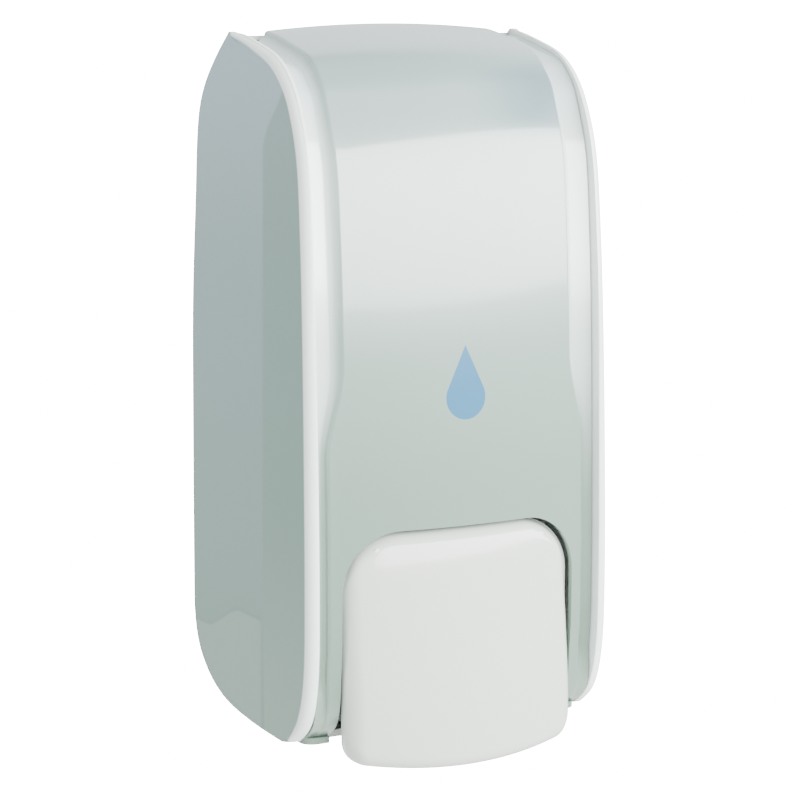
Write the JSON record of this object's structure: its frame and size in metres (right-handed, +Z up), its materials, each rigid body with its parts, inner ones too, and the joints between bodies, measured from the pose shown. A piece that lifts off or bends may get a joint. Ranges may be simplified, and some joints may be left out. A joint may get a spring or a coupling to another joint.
{
  "type": "wall mounted soap dispenser",
  "caption": "Wall-mounted push-lever soap dispenser with a hinged crowned front cover, see-through side cheeks and a refillable reservoir.",
  "frame": {"origin": "point on the back shell's flat wall face, on the centre plane, 105 mm above the cheeks' bottom edge", "axes": "+X to the dispenser's right as seen from the front, -Y towards the user, +Y into the wall, +Z up"},
  "size_m": [0.1316, 0.1169, 0.2835],
  "materials": {
    "cheek_plastic": "glossy, slightly see-through grey-blue",
    "cover_plastic": "smooth pearl, slightly frosted",
    "lever_plastic": "glossy opaque white",
    "shell_plastic": "fine matte white",
    "carrier_plastic": "moulded grey",
    "reservoir_plastic": "natural polypropylene",
    "pump_plastic": "smooth acetal",
    "nitrile_rubber": "soft matte",
    "spring_steel": "drawn stainless wire and ball",
    "fastener_steel": "zinc plated",
    "lock_metal": "nickel plated"
  },
  "bodies": {
    "housing": {"back_shell": "shell_plastic", "left_cheek": "cheek_plastic", "right_cheek": "cheek_plastic", "pump_carrier": "carrier_plastic", "pump_body": "pump_plastic", "pump_end_cap": "pump_plastic", "pump_spring": "spring_steel", "inlet_ball": "spring_steel", "outlet_valve": "nitrile_rubber", "spout": "pump_plastic", "reservoir": "reservoir_plastic", "reservoir_lid": "reservoir_plastic", "spigot_gasket": "nitrile_rubber", "lock_nut": "lock_metal", "lever_pivot_rod": "fastener_steel", "pivot_ring_left": "fastener_steel", "pivot_ring_right": "fastener_steel", "cover_hinge_pin_left": "fastener_steel", "cover_hinge_pin_right": "fastener_steel", "cheek_screw_left_lower": "fastener_steel", "cheek_screw_left_upper": "fastener_steel", "cheek_screw_right_lower": "fastener_steel", "cheek_screw_right_upper": "fastener_steel", "carrier_screw_1": "fastener_steel", "carrier_screw_2": "fastener_steel", "carrier_screw_3": "fastener_steel", "carrier_screw_4": "fastener_steel"},
    "cover": {"front_cover": "cover_plastic"},
    "lever": {"push_lever": "lever_plastic"},
    "piston": {"pump_piston": "pump_plastic", "piston_seal": "nitrile_rubber"},
    "lock": {"lock_barrel": "lock_metal", "lock_cam": "lock_metal"}
  },
  "joints": [
    {"name": "cover_hinge", "type": "hinge", "parent": "housing", "child": "cover", "pos_m": [0, -0.088, -0.096], "axis": [1, 0, 0], "range_deg": [0, 95]},
    {"name": "lever_hinge", "type": "hinge", "parent": "housing", "child": "lever", "pos_m": [0, -0.096, -0.033], "axis": [1, 0, 0], "range_deg": [0, 10], "stiffness_Nm_per_rad": 3, "springref_deg": -5.73},
    {"name": "pump_slide", "type": "slide", "parent": "housing", "child": "piston", "axis": [0, 1, 0], "range_m": [0, 0.0081], "deforming": ["pump_spring"]},
    {"name": "lock_turn", "type": "hinge", "parent": "housing", "child": "lock", "pos_m": [0, -0.022, 0.136], "axis": [0, 0, -1], "range_deg": [0, 90]}
  ],
  "couplings": [
    {"joint": "pump_slide", "follows": "lever_hinge", "m_per_rad": 0.0464}
  ]
}
